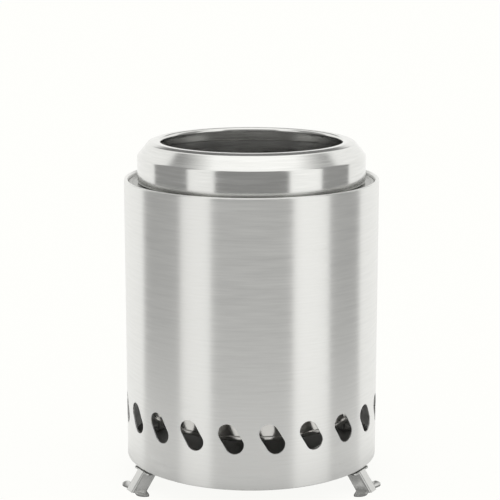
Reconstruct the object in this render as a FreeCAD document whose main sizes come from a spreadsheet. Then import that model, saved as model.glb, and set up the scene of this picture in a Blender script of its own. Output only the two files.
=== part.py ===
import FreeCAD, Part
import math
import os
import re

import Sketcher
from FreeCAD import Placement, Rotation, Vector

# A tabletop smokeless fire pit: a double-walled steel can on a low stand.
# Millimetres and degrees. The origin is on the table, in the middle of the whole object's
# outline. +Z is up and the front faces -Y. Each piece is drawn about the pit's axis, the
# pit's own pieces with z = 0 at its flat bottom, and its placement lifts it onto the stand
# and brings the axis to its place, a little in front of the origin.

SIZES = {
    # Stand
    "stand_height": 11.0,        # table to the pit's flat bottom
    "stand_wall": 1.0,           # sheet of the stand's ring
    "stand_ring_inset": 2.0,     # shell to the outer edge of the stand's ring
    "stand_lip_height": 1.8,     # turned-up inner lip that keeps the pit in place
    "stand_lip_gap": 0.5,        # running gap between that lip and the recess above it
    "leg_wall": 0.9,             # sheet of a leg
    "leg_overhang": 6.9,         # how far a leg's outer face stands out past the shell, at the table
    "leg_lean": 34.6,            # angle of a leg from upright
    "leg_web": 7.0,              # width of a leg's outer face
    "leg_flange": 7.4,           # depth of each side flange
    "leg_flare": 14.0,           # angle that each flange opens outwards
    "leg_bend": 0.5,             # inside radius of a leg's bends
    "foot_length": 7.5,          # how far a foot stands out from its flange
    "foot_toe_round": 4.6,       # large round at the foot's outer corner
    "foot_heel_round": 1.0,      # small round at the foot's inner corner
    "tab_width": 15.0,           # riveted tab at the top of a leg
    "tab_length": 13.0,
    "tab_round": 1.0,
    "rivet_radius": 1.5,
    "rivet_head_radius": 2.6,
    "rivet_head_height": 1.0,
    "rivet_spacing": 8.0,
    "rivet_inset": 3.7,          # rivet's axis from the tab's inner edge
    "rivet_fit": 0.05,           # radial gap round a rivet's shank
    # Outer shell
    "shell_radius": 65.0,
    "shell_height": 144.9,       # flat bottom to the top of the rolled rim
    "shell_wall": 0.7,
    "rim_width": 2.0,            # width of the rolled rim
    "rim_bend": 0.25,            # inside radius of the rim's two rolls
    "slot_width": 9.5,
    "slot_length": 16.1,
    "slot_lean": 31.0,           # angle of a slot from upright, top to the left
    "slot_height": 25.7,         # flat bottom to a slot's middle
    # Bottom of the shell
    "base_wall": 0.8,
    "base_flange": 6.5,          # height of the turned-up edge
    "recess_inset": 18.0,        # shell to the raised middle of the bottom
    "recess_depth": 2.4,
    "recess_run": 0.8,           # width of the slope round the raised middle
    "sheet_bend": 1.0,           # inside radius of the larger bends
    "seam_gap": 0.1,             # gap between pieces that are pressed or welded together
    "shield_inset": 5.0,         # edge of the raised middle to the heat shield
    "shield_height": 6.0,
    "shield_wall": 0.6,
    "bracket_width": 6.0,
    "bracket_wall": 1.0,
    "bracket_standoff": 3.0,     # inner wall to a bracket's upright face
    "bracket_foot": 5.0,
    "bracket_top": 6.0,
    "bracket_bend": 0.4,
    # Inner chamber
    "air_gap": 12.0,             # shell's outer face to the inner wall's outer face
    "chamber_wall": 0.6,
    "chamber_flange": 4.5,       # turned-out top edge under the ledge
    "floor_height": 21.0,        # flat bottom to the underside of the chamber's floor
    "floor_wall": 0.6,
    "floor_rim": 2.4,            # height of the floor's seam round the wall
    "seam_bend": 0.3,
    "vent_diameter": 6.0,        # air holes in the floor
    "vent_inset": 5.4,           # inner wall to an air hole's middle
    "jet_diameter": 5.0,         # air holes near the top of the inner wall
    "jet_drop": 21.0,            # ledge to an upper air hole's middle
    # Ledge between the rim and the flame ring
    "ledge_depth": 2.1,          # rim to ledge
    "ledge_wall": 0.7,
    "ledge_skirt": 3.0,
    "bead_inset": 0.7,           # rolled rim to the raised bead
    "bead_width": 1.4,
    "bead_height": 0.5,
    "bead_run": 0.4,
    # Flame ring, heights from the ledge
    "ring_wall": 0.8,
    "ring_inset": 6.8,           # shell to the ring's upright wall
    "ring_foot_bend": 0.8,
    "ring_fold_bend": 0.7,
    "ring_shoulder_height": 13.7,
    "ring_shoulder_run": 5.5,    # the sloped shoulder, inwards and up
    "ring_shoulder_rise": 6.7,
    "ring_lip_run": 2.7,         # the gently rising lip above it
    "ring_lip_rise": 0.9,
    "ring_crest_run": 3.8,       # the level crest, as far as the mouth
    "ring_mouth_hem": 2.6,
    "band_wall": 0.6,
    "band_gap": 0.6,             # locating band to the chamber's inner wall
    "band_depth": 6.0,
    # Ash pan and fuel grate
    "pan_play": 2.4,             # radial play of the pan inside the grate's skirt
    "pan_height": 8.0,
    "pan_wall": 0.6,
    "grate_gap": 2.6,            # radial play of the grate in the flame ring's mouth
    "grate_wall": 1.2,
    "grate_skirt": 3.0,
    "grate_hole_diameter": 4.4,
    "grate_border": 8.6,         # grate's edge to the middles of its outermost holes
    "cut_overrun": 2.0,          # how far a cut runs past what it cuts
}

SLOT_COUNT = 20
JET_COUNT = 24
VENT_COUNT = 18
BRACKET_COUNT = 3
GRATE_RINGS = 5
HOLES_PER_RING = 6
LEG_SIDES = ("left", "right", "rear")
HALF_TURN = 180
FULL_TURN = 360

# Heights and radii that follow from the sizes
LEDGE = "(shell_height - ledge_depth)"
STAND_RING_RADIUS = "(shell_radius - stand_ring_inset)"
LEG_REACH = "(shell_radius + leg_overhang)"
RECESS_RADIUS = "(shell_radius - recess_inset)"
CHAMBER_RADIUS = "(shell_radius - air_gap)"
RING_RADIUS = "(shell_radius - ring_inset)"
BASE_RADIUS = "(shell_radius - shell_wall - seam_gap)"
RIM_INSIDE = "(shell_radius - rim_width)"
CHAMBER_INSIDE = f"({CHAMBER_RADIUS} - chamber_wall)"
FLOOR_TOP = "(floor_height + floor_wall)"
BAND_RADIUS = f"({CHAMBER_INSIDE} - band_gap)"
RING_LIP_RADIUS = f"({RING_RADIUS} - ring_shoulder_run)"
RING_LIP_HEIGHT = "(ring_shoulder_height + ring_shoulder_rise)"
RING_CREST_RADIUS = f"({RING_LIP_RADIUS} - ring_lip_run)"
RING_CREST_HEIGHT = f"({RING_LIP_HEIGHT} + ring_lip_rise)"
RING_MOUTH_RADIUS = f"({RING_CREST_RADIUS} - ring_crest_run)"
GRATE_RADIUS = f"({RING_MOUTH_RADIUS} - grate_gap)"
PAN_RADIUS = f"({GRATE_RADIUS} - grate_wall - pan_play)"
LEG_TOP = "(stand_height - stand_wall)"
LEG_TOP_REACH = f"({LEG_REACH} - {LEG_TOP} * tan(leg_lean))"
TAB_END = f"({LEG_TOP_REACH} - tab_length)"

# Only the rear leg stands out past the shell along Y, so the axis is half of that
# in front of the middle of the outline.
FOOT_ROOT = "(leg_bend + leg_wall)"
TOE_CUT = "foot_toe_round * (cos(leg_flare) + sin(leg_flare) - 1)"
FOOT_REACH = f"({LEG_REACH} - {FOOT_ROOT} * cos(leg_flare) + foot_length * sin(leg_flare) - {TOE_CUT})"
REAR_REACH = f"max({LEG_REACH}; {FOOT_REACH})"
AXIS_FORWARD = f"(({REAR_REACH} - shell_radius) / 2)"

doc = FreeCAD.newDocument("smokeless_fire_pit")
sheet = doc.addObject("Spreadsheet::Sheet", "Sizes")
for row, (alias, value) in enumerate(SIZES.items(), start=1):
    sheet.set(f"A{row}", alias)
    sheet.set(f"B{row}", str(value))
    sheet.setAlias(f"B{row}", alias)
doc.recompute()

parts = {}


def on_sheet(formula):
    """Point each size named in a formula at its cell on the sheet."""
    return re.sub(r"[a-z_]+", lambda word: "Sizes." + word.group() if word.group() in SIZES else word.group(),
                  str(formula))


def bind(thing, prop, formula):
    thing.setExpression(prop, on_sheet(formula))


def read(formula):
    """The number that a formula on the sheet gives."""
    return float(sheet.evalExpression(on_sheet(formula)))


def new_body(name):
    body = doc.addObject("PartDesign::Body", name)
    body.Label = name
    parts[name] = body
    return body


def place(thing, height, turn=0):
    """Turn a piece about the pit's axis, lift it to its height and bring that axis to its place."""
    thing.Placement = Placement(Vector(0, -read(AXIS_FORWARD), read(height)),
                                Rotation(Vector(0, 0, 1), read(turn)))
    bind(thing, "Placement.Base.y", f"-{AXIS_FORWARD}")
    bind(thing, "Placement.Base.z", height)
    if turn:
        bind(thing, "Placement.Rotation.Angle", turn)


def origin_feature(body, role):
    return next(item for item in body.Origin.OriginFeatures if item.Role == role)


def new_sketch(body, name, role):
    sketch = body.newObject("Sketcher::SketchObject", name)
    sketch.AttachmentSupport = (origin_feature(body, role), "")
    sketch.MapMode = "FlatFace"
    return sketch


def constrain(sketch, kind, *items, formula=None):
    """Add a constraint, and bind its value to the sheet if it has one."""
    if formula is None:
        sketch.addConstraint(Sketcher.Constraint(kind, *items))
        return
    number = sketch.addConstraint(Sketcher.Constraint(kind, *items, read(formula)))
    bind(sketch, f"Constraints[{number}]", formula)


def pin(sketch, item, end, across, up):
    """Hold one point of a sketch at a place given from the sketch's origin."""
    constrain(sketch, "DistanceX", -1, 1, item, end, formula=across)
    constrain(sketch, "DistanceY", -1, 1, item, end, formula=up)


def corner_arc(before, corner, after, radius):
    """The arc that rounds a corner, and its two tangent points."""
    back = (before - corner).normalize()
    on = (after - corner).normalize()
    half = back.getAngle(on) / 2
    start = corner + back * (radius / math.tan(half))
    end = corner + on * (radius / math.tan(half))
    centre = corner + (back + on).normalize() * (radius / math.sin(half))
    middle = centre + (corner - centre).normalize() * radius
    return Part.Arc(start, middle, end), start, end


def draw_run(sketch, points, radii, closed):
    """Draw lines through the points, with tangent arcs where a corner has a radius."""
    count = len(points)
    starts = list(points)
    ends = points[1:] + points[:1]
    arcs = {}
    for index in range(count):
        if radii[index]:
            shape, start, end = corner_arc(points[index - 1], points[index], points[(index + 1) % count],
                                           radii[index])
            arcs[index] = (shape, start)
            ends[index - 1] = start
            starts[index] = end
    lines = [sketch.addGeometry(Part.LineSegment(starts[index], ends[index]))
             for index in range(count if closed else count - 1)]
    rounds = {}
    for index, (shape, start) in arcs.items():
        arc = sketch.addGeometry(shape)
        gaps = [(sketch.getPoint(arc, end) - start).Length for end in (1, 2)]
        first = 1 if gaps[0] < gaps[1] else 2
        rounds[index] = (arc, first, 3 - first)
    return lines, rounds


def join_corner(sketch, lines, rounds, index, radius):
    """Tie the two lines that meet at a corner, straight or through its arc."""
    if index in rounds:
        arc, first, second = rounds[index]
        constrain(sketch, "Tangent", lines[index - 1], 2, arc, first)
        constrain(sketch, "Tangent", arc, second, lines[index], 1)
        constrain(sketch, "Radius", arc, formula=radius)
    else:
        constrain(sketch, "Coincident", lines[index - 1], 2, lines[index], 1)


def fix_corner(sketch, lines, rounds, index, corner):
    """Hold a corner at its place: the vertex itself, or the point where its lines would meet."""
    if index in rounds:
        point = sketch.addGeometry(Part.Point(Vector(read(corner[0]), read(corner[1]), 0)), True)
        pin(sketch, point, 1, corner[0], corner[1])
        constrain(sketch, "PointOnObject", point, 1, lines[index - 1])
        constrain(sketch, "PointOnObject", point, 1, lines[index])
    else:
        pin(sketch, lines[index], 1, corner[0], corner[1])


def flat_outline(body, name, role, corners):
    """A closed outline. Each corner is (across, up) or (across, up, radius), as formulas."""
    sketch = new_sketch(body, name, role)
    points = [Vector(read(corner[0]), read(corner[1]), 0) for corner in corners]
    radii = [read(corner[2]) if len(corner) > 2 else 0 for corner in corners]
    lines, rounds = draw_run(sketch, points, radii, closed=True)
    for index, corner in enumerate(corners):
        join_corner(sketch, lines, rounds, index, corner[-1])
        fix_corner(sketch, lines, rounds, index, corner)
    return sketch


def sheet_outline(body, name, role, corners, wall, side):
    """The outline of bent sheet metal. Corners follow one face, as (across, up) or (across, up, bend),
    where bend is the inside radius. The sheet lies to the left of that face if side is 1, and to
    the right if it is -1."""
    sketch = new_sketch(body, name, role)
    last = len(corners) - 1
    thickness = read(wall)
    face = [Vector(read(corner[0]), read(corner[1]), 0) for corner in corners]
    along = [(face[index + 1] - face[index]).normalize() for index in range(last)]
    across = [Vector(-step.y, step.x, 0) * side for step in along]
    back = [face[0] + across[0] * thickness]
    for index in range(1, last):
        half = (across[index - 1] + across[index]).normalize()
        back.append(face[index] + half * (thickness / half.dot(across[index])))
    back.append(face[last] + across[-1] * thickness)

    face_radius = {}
    back_radius = {}
    for index in range(1, last):
        if len(corners[index]) > 2:
            inside = corners[index][2]
            outside = f"{inside} + {wall}"
            turns_to_sheet = along[index - 1].cross(along[index]).z * side > 0
            face_radius[index] = outside if turns_to_sheet else inside
            back_radius[index] = inside if turns_to_sheet else outside

    runs = []
    for points, radius in ((face, face_radius), (back, back_radius)):
        radii = [read(radius[index]) if index in radius else 0 for index in range(last + 1)]
        lines, rounds = draw_run(sketch, points, radii, closed=False)
        for index in range(1, last):
            join_corner(sketch, lines, rounds, index, radius.get(index))
        runs.append((lines, rounds))
    (face_lines, face_rounds), (back_lines, _) = runs

    pin(sketch, face_lines[0], 1, corners[0][0], corners[0][1])
    pin(sketch, face_lines[-1], 2, corners[last][0], corners[last][1])
    for index in range(1, last):
        fix_corner(sketch, face_lines, face_rounds, index, corners[index])
    for front, rear in zip(face_lines, back_lines):
        constrain(sketch, "Parallel", front, rear)
        constrain(sketch, "Distance", rear, 1, front, formula=wall)
    for at, line, end in ((0, 0, 1), (last, -1, 2)):
        cap = sketch.addGeometry(Part.LineSegment(face[at], back[at]))
        constrain(sketch, "Coincident", cap, 1, face_lines[line], end)
        constrain(sketch, "Coincident", cap, 2, back_lines[line], end)
        constrain(sketch, "Perpendicular", cap, face_lines[line])
    return sketch


def revolve(body, sketch):
    doc.recompute()
    feature = body.newObject("PartDesign::Revolution", sketch.Label + "_turned")
    feature.Profile = sketch
    feature.ReferenceAxis = (sketch, ["V_Axis"])
    feature.Angle = FULL_TURN
    return feature


def pad(body, sketch, length, midplane=False):
    doc.recompute()
    feature = body.newObject("PartDesign::Pad", sketch.Label + "_pad")
    feature.Profile = sketch
    bind(feature, "Length", length)
    if midplane:
        feature.Midplane = True
    return feature


def cut(body, sketch, length):
    """Cut away from the sketch's plane, along its own normal."""
    doc.recompute()
    feature = body.newObject("PartDesign::Pocket", sketch.Label + "_cut")
    feature.Profile = sketch
    feature.Reversed = True
    bind(feature, "Length", length)
    return feature


def repeat(body, originals, count):
    """Repeat features evenly round the pit's axis."""
    doc.recompute()
    pattern = body.newObject("PartDesign::PolarPattern", originals[-1].Label + "_ring")
    pattern.Originals = originals
    pattern.Axis = (origin_feature(body, "Z_Axis"), [""])
    pattern.Angle = FULL_TURN
    pattern.Occurrences = count
    body.Tip = pattern
    return pattern


def mirror(body, originals):
    """Mirror features about the leg's own middle plane."""
    doc.recompute()
    feature = body.newObject("PartDesign::Mirrored", originals[-1].Label + "_mirrored")
    feature.Originals = originals
    feature.MirrorPlane = (origin_feature(body, "YZ_Plane"), [""])
    body.Tip = feature
    return feature


def round_hole(body, name, role, across, up, diameter):
    sketch = new_sketch(body, name, role)
    circle = sketch.addGeometry(Part.Circle(Vector(read(across), read(up), 0), Vector(0, 0, 1),
                                            read(diameter) / 2))
    pin(sketch, circle, 3, across, up)
    constrain(sketch, "Diameter", circle, formula=diameter)
    return sketch


def slot_outline(body, name):
    """A leaning slot with round ends, drawn on the plane that faces the front."""
    sketch = new_sketch(body, name, "XZ_Plane")
    half = "(slot_length - slot_width) / 2"
    ends = [(f"-{half} * sin(slot_lean)", f"slot_height + {half} * cos(slot_lean)"),
            (f"{half} * sin(slot_lean)", f"slot_height - {half} * cos(slot_lean)")]
    centres = [Vector(read(across), read(up), 0) for across, up in ends]
    radius = read("slot_width / 2")
    run = (centres[0] - centres[1]).normalize()
    out = Vector(-run.y, run.x, 0) * radius
    arcs = []
    for centre, way in ((centres[0], 1), (centres[1], -1)):
        shape = Part.Arc(centre + out * way, centre + run * radius * way, centre - out * way)
        arcs.append(sketch.addGeometry(shape))
    lines = [sketch.addGeometry(Part.LineSegment(centres[0] + out * way, centres[1] + out * way))
             for way in (1, -1)]
    for (across, up), arc in zip(ends, arcs):
        pin(sketch, arc, 3, across, up)
    for line in lines:
        for end, arc in ((1, arcs[0]), (2, arcs[1])):
            at = sketch.getPoint(line, end)
            near = 1 if (sketch.getPoint(arc, 1) - at).Length < (sketch.getPoint(arc, 2) - at).Length else 2
            constrain(sketch, "Tangent", line, end, arc, near)
    constrain(sketch, "Equal", arcs[0], arcs[1])
    constrain(sketch, "Radius", arcs[0], formula="slot_width / 2")
    return sketch


# The stand

def make_stand_ring():
    body = new_body("stand_ring")
    lip = f"({RECESS_RADIUS} - stand_lip_gap)"
    section = sheet_outline(body, "ring_section", "XZ_Plane", [
        (lip, "stand_lip_height"),
        (lip, "0", "leg_bend"),
        (STAND_RING_RADIUS, "0"),
    ], "stand_wall", -1)
    revolve(body, section)
    holes = []
    for side in (-1, 1):
        hole = round_hole(body, f"rivet_hole_{side + 1}", "XY_Plane", f"{side} * rivet_spacing / 2",
                          f"-({TAB_END} + rivet_inset)", "2 * (rivet_radius + rivet_fit)")
        doc.recompute()
        feature = body.newObject("PartDesign::Pocket", hole.Label + "_cut")
        feature.Profile = hole
        bind(feature, "Length", "stand_wall + cut_overrun")
        holes.append(feature)
    repeat(body, holes, len(LEG_SIDES))
    place(body, "stand_height", HALF_TURN)


def make_leg(side, turn):
    """A leg is one bent sheet: a leaning channel, two feet turned outwards and a tab on top."""
    body = new_body(f"stand_leg_{side}")
    flange_in = "(leg_flange * cos(leg_flare))"
    flange_out = "(leg_web / 2 + leg_flange * sin(leg_flare))"
    channel = sheet_outline(body, "channel", "XY_Plane", [
        (f"-{flange_out}", f"{flange_in} - {LEG_REACH}"),
        ("-leg_web / 2", f"-{LEG_REACH}", "leg_bend"),
        ("leg_web / 2", f"-{LEG_REACH}", "leg_bend"),
        (flange_out, f"{flange_in} - {LEG_REACH}"),
    ], "leg_wall", 1)
    upright = pad(body, channel, LEG_TOP)
    upright.UseCustomVector = True
    upright.AlongSketchNormal = True
    upright.Direction = Vector(0, math.tan(math.radians(read("leg_lean"))), 1)
    bind(upright, "Direction.y", "tan(leg_lean)")

    # The foot starts past the bend of the channel's corner and its root lies inside the flange.
    foot = flat_outline(body, "foot", "XY_Plane", [
        (f"leg_web / 2 + {FOOT_ROOT} * sin(leg_flare) - leg_wall * cos(leg_flare)",
         f"-{LEG_REACH} + {FOOT_ROOT} * cos(leg_flare) + leg_wall * sin(leg_flare)"),
        (f"leg_web / 2 + {FOOT_ROOT} * sin(leg_flare) + foot_length * cos(leg_flare)",
         f"-{LEG_REACH} + {FOOT_ROOT} * cos(leg_flare) - foot_length * sin(leg_flare)", "foot_toe_round"),
        (f"{flange_out} + foot_length * cos(leg_flare)",
         f"{flange_in} - {LEG_REACH} - foot_length * sin(leg_flare)", "foot_heel_round"),
        (f"{flange_out} - leg_wall * cos(leg_flare)",
         f"{flange_in} - {LEG_REACH} + leg_wall * sin(leg_flare)"),
    ])
    foot_pad = pad(body, foot, "leg_wall")
    mirror(body, [foot_pad])

    tab = flat_outline(body, "tab", "XY_Plane", [
        ("-tab_width / 2", f"-{LEG_TOP_REACH}", "tab_round"),
        ("tab_width / 2", f"-{LEG_TOP_REACH}", "tab_round"),
        ("tab_width / 2", f"-{TAB_END}", "tab_round"),
        ("-tab_width / 2", f"-{TAB_END}", "tab_round"),
    ])
    bind(tab, "AttachmentOffset.Base.z", f"{LEG_TOP} - leg_wall")
    pad(body, tab, "leg_wall")
    hole = round_hole(body, "rivet_hole", "XY_Plane", "rivet_spacing / 2", f"-({TAB_END} + rivet_inset)",
                      "2 * (rivet_radius + rivet_fit)")
    bind(hole, "AttachmentOffset.Base.z", f"{LEG_TOP} - leg_wall - cut_overrun")
    hole_cut = cut(body, hole, "leg_wall + 2 * cut_overrun")
    mirror(body, [hole_cut])
    place(body, "0", turn)


def make_stand_rivets(turns):
    """Two rivets in each leg's tab, flush on top and headed below."""
    rivets = []
    under = f"({LEG_TOP} - leg_wall)"
    along = f"({TAB_END} + rivet_inset)"
    for turn in turns:
        for side in (-1, 1):
            shank = doc.addObject("Part::Cylinder", "shank")
            bind(shank, "Radius", "rivet_radius")
            bind(shank, "Height", "leg_wall + stand_wall - seam_gap")
            head = doc.addObject("Part::Cone", "head")
            bind(head, "Radius1", "rivet_head_radius - rivet_head_height / 2")
            bind(head, "Radius2", "rivet_head_radius")
            bind(head, "Height", "rivet_head_height")
            bind(head, "Placement.Base.z", "-rivet_head_height")
            rivet = doc.addObject("Part::Fuse", "rivet")
            rivet.Base = shank
            rivet.Tool = head
            across = f"{side} * rivet_spacing / 2"
            bind(rivet, "Placement.Base.x", f"{across} * cos({turn}) + {along} * sin({turn})")
            bind(rivet, "Placement.Base.y",
                 f"{across} * sin({turn}) - {along} * cos({turn}) - {AXIS_FORWARD}")
            bind(rivet, "Placement.Base.z", under)
            rivets.append(rivet)
    group = doc.addObject("Part::Compound", "stand_rivets")
    group.Label = "stand_rivets"
    group.Links = rivets
    parts["stand_rivets"] = group


# The pit's outside

def make_outer_shell():
    body = new_body("outer_shell")
    section = sheet_outline(body, "shell_section", "XZ_Plane", [
        ("shell_radius", "0"),
        ("shell_radius", "shell_height", "rim_bend"),
        (RIM_INSIDE, "shell_height", "rim_bend"),
        (RIM_INSIDE, f"{LEDGE} + seam_gap"),
    ], "shell_wall", 1)
    revolve(body, section)
    slot = slot_outline(body, "slot")
    repeat(body, [cut(body, slot, "shell_radius + cut_overrun")], SLOT_COUNT)
    place(body, "stand_height", HALF_TURN / SLOT_COUNT)


def make_base_plate():
    body = new_body("base_plate")
    section = sheet_outline(body, "base_section", "XZ_Plane", [
        ("0", "recess_depth"),
        (RECESS_RADIUS, "recess_depth"),
        (f"{RECESS_RADIUS} + recess_run", "0"),
        (BASE_RADIUS, "0", "sheet_bend"),
        (BASE_RADIUS, "base_flange"),
    ], "base_wall", 1)
    revolve(body, section)
    place(body, "stand_height")


def make_heat_shield():
    body = new_body("heat_shield")
    bottom = "(recess_depth + base_wall)"
    radius = f"({RECESS_RADIUS} - shield_inset)"
    section = sheet_outline(body, "shield_section", "XZ_Plane", [
        ("0", f"{bottom} + shield_height"),
        (radius, f"{bottom} + shield_height", "sheet_bend"),
        (radius, bottom),
    ], "shield_wall", -1)
    revolve(body, section)
    place(body, "stand_height")


def make_chamber_brackets():
    body = new_body("chamber_brackets")
    upright = f"({CHAMBER_RADIUS} + bracket_standoff)"
    section = sheet_outline(body, "bracket_section", "XZ_Plane", [
        (f"{upright} + bracket_foot", "base_wall"),
        (upright, "base_wall", "bracket_bend"),
        (upright, "floor_height - bracket_wall", "bracket_bend"),
        (f"{upright} - bracket_top", "floor_height - bracket_wall"),
    ], "bracket_wall", -1)
    bracket = pad(body, section, "bracket_width", midplane=True)
    repeat(body, [bracket], BRACKET_COUNT)
    place(body, "stand_height", -HALF_TURN / 2)


# The inner chamber

def make_chamber_floor():
    body = new_body("chamber_floor")
    rim = f"({CHAMBER_RADIUS} + seam_gap + floor_wall)"
    section = sheet_outline(body, "floor_section", "XZ_Plane", [
        ("0", "floor_height"),
        (rim, "floor_height", "seam_bend"),
        (rim, "floor_height + floor_rim"),
    ], "floor_wall", 1)
    revolve(body, section)
    vent = round_hole(body, "vent", "XY_Plane", "0", f"-({CHAMBER_INSIDE} - vent_inset)", "vent_diameter")
    repeat(body, [cut(body, vent, f"{FLOOR_TOP} + cut_overrun")], VENT_COUNT)
    place(body, "stand_height", HALF_TURN / VENT_COUNT)


def make_inner_chamber():
    body = new_body("inner_chamber")
    section = sheet_outline(body, "chamber_section", "XZ_Plane", [
        (CHAMBER_INSIDE, f"{FLOOR_TOP} + seam_bend"),
        (CHAMBER_INSIDE, f"{LEDGE} - ledge_wall", "seam_bend"),
        (f"{CHAMBER_RADIUS} + chamber_flange", f"{LEDGE} - ledge_wall"),
    ], "chamber_wall", -1)
    revolve(body, section)
    jet = round_hole(body, "jet", "XZ_Plane", "0", f"{LEDGE} - jet_drop", "jet_diameter")
    repeat(body, [cut(body, jet, f"{CHAMBER_RADIUS} + cut_overrun")], JET_COUNT)
    place(body, "stand_height")


def make_top_collar():
    body = new_body("top_collar")
    bead_out = f"({RIM_INSIDE} - bead_inset)"
    bead_in = f"({RIM_INSIDE} - bead_inset - bead_width)"
    section = sheet_outline(body, "collar_section", "XZ_Plane", [
        (CHAMBER_INSIDE, LEDGE),
        (f"{bead_in} - bead_run", LEDGE),
        (bead_in, f"{LEDGE} + bead_height"),
        (bead_out, f"{LEDGE} + bead_height"),
        (f"{bead_out} + bead_run", LEDGE),
        (BASE_RADIUS, LEDGE, "seam_bend"),
        (BASE_RADIUS, f"{LEDGE} - ledge_skirt"),
    ], "ledge_wall", -1)
    revolve(body, section)
    place(body, "stand_height")


# The flame ring, drawn with z = 0 on the ledge

def make_flame_ring():
    body = new_body("flame_ring")
    section = sheet_outline(body, "flame_section", "XZ_Plane", [
        (f"{BAND_RADIUS} + ring_fold_bend + seam_gap", "0"),
        (RING_RADIUS, "0", "ring_foot_bend"),
        (RING_RADIUS, "ring_shoulder_height", "ring_fold_bend"),
        (RING_LIP_RADIUS, RING_LIP_HEIGHT, "ring_fold_bend"),
        (RING_CREST_RADIUS, RING_CREST_HEIGHT, "ring_fold_bend"),
        (RING_MOUTH_RADIUS, RING_CREST_HEIGHT, "ring_fold_bend"),
        (RING_MOUTH_RADIUS, f"{RING_CREST_HEIGHT} - ring_mouth_hem"),
    ], "ring_wall", 1)
    revolve(body, section)
    place(body, f"stand_height + {LEDGE}")


def make_ring_band():
    body = new_body("ring_band")
    section = sheet_outline(body, "band_section", "XZ_Plane", [
        (f"{RING_RADIUS} - ring_wall - ring_foot_bend - seam_gap", "ring_wall"),
        (BAND_RADIUS, "ring_wall", "ring_fold_bend"),
        (BAND_RADIUS, "-band_depth"),
    ], "band_wall", -1)
    revolve(body, section)
    place(body, f"stand_height + {LEDGE}")


# The pan and grate, drawn with z = 0 on the chamber's floor

def make_ash_pan():
    body = new_body("ash_pan")
    section = sheet_outline(body, "pan_section", "XZ_Plane", [
        ("0", "0"),
        (PAN_RADIUS, "0", "sheet_bend"),
        (PAN_RADIUS, "pan_height"),
    ], "pan_wall", 1)
    revolve(body, section)
    place(body, f"stand_height + {FLOOR_TOP}")


def make_fuel_grate():
    body = new_body("fuel_grate")
    top = "(pan_height + grate_wall)"
    pitch = f"(({GRATE_RADIUS} - grate_border) / {GRATE_RINGS})"
    section = sheet_outline(body, "grate_section", "XZ_Plane", [
        ("0", top),
        (GRATE_RADIUS, top, "seam_bend"),
        (GRATE_RADIUS, "pan_height - grate_skirt"),
    ], "grate_wall", -1)
    revolve(body, section)
    middle = round_hole(body, "middle_hole", "XY_Plane", "0", "0", "grate_hole_diameter")
    cut(body, middle, f"{top} + cut_overrun")
    for ring in range(1, GRATE_RINGS + 1):
        hole = round_hole(body, f"hole_{ring}", "XY_Plane", "0", f"-{ring} * {pitch}",
                          "grate_hole_diameter")
        repeat(body, [cut(body, hole, f"{top} + cut_overrun")], HOLES_PER_RING * ring)
    place(body, f"stand_height + {FLOOR_TOP}")


leg_turns = [(2 * index - 1) * HALF_TURN / len(LEG_SIDES) for index in range(len(LEG_SIDES))]
make_stand_ring()
for leg_side, leg_turn in zip(LEG_SIDES, leg_turns):
    make_leg(leg_side, leg_turn)
make_stand_rivets(leg_turns)
make_outer_shell()
make_base_plate()
make_heat_shield()
make_chamber_brackets()
make_chamber_floor()
make_inner_chamber()
make_top_collar()
make_flame_ring()
make_ring_band()
make_ash_pan()
make_fuel_grate()
doc.recompute()

# Nothing is written unless every object is sound.
for thing in doc.Objects:
    if "Invalid" in thing.State or "Error" in thing.State:
        raise RuntimeError(f"{thing.Label} is not sound: {thing.State}")
for label, part in parts.items():
    if part.Shape.isNull() or not part.Shape.isValid():
        raise RuntimeError(f"{label} has no valid shape")

os.makedirs("parts", exist_ok=True)
for label, part in parts.items():
    part.Shape.exportStep(f"parts/{label}.step")
    box = part.Shape.optimalBoundingBox()
    print(f"{label}: {len(part.Shape.Solids)} solids, {part.Shape.Volume:.1f} mm3, "
          f"z {box.ZMin:.2f} to {box.ZMax:.2f}, x {box.XMin:.2f} to {box.XMax:.2f}, "
          f"y {box.YMin:.2f} to {box.YMax:.2f}")
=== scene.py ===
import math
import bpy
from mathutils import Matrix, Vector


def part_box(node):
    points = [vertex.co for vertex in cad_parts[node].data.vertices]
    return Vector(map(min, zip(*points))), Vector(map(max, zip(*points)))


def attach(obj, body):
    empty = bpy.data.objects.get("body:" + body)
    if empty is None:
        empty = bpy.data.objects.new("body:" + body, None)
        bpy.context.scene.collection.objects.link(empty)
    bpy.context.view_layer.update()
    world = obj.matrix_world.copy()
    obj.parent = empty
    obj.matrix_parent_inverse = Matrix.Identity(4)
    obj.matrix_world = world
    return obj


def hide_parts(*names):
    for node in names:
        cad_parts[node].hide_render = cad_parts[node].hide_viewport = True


bl_info = {
    "name": "Tabletop Smokeless Fire Pit",
    "version": (1, 0, 0),
    "blender": (4, 5, 0),
    "location": "View3D > Sidebar > Fire Pit",
    "description": "A double-walled steel fire pit with a lift-off flame ring, on a low stand",
    "category": "Add Mesh",
}

import bpy
from bpy.props import FloatProperty, FloatVectorProperty, IntProperty, PointerProperty
from mathutils import Matrix, Vector

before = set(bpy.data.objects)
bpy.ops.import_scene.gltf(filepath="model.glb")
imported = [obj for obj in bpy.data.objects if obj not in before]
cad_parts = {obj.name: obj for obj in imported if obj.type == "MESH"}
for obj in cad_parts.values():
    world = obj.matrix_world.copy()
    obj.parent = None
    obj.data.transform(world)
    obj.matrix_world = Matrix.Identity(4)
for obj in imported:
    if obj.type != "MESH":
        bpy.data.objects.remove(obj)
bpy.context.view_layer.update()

MM = 0.001
SHELL_LOW, SHELL_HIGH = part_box("outer_shell")
# The pit's axis stands a little in front of the origin.
AXIS = Vector(((SHELL_LOW.x + SHELL_HIGH.x) / 2, (SHELL_LOW.y + SHELL_HIGH.y) / 2, 0))
SHELL_RADIUS = (SHELL_HIGH.x - SHELL_LOW.x) / 2
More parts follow.
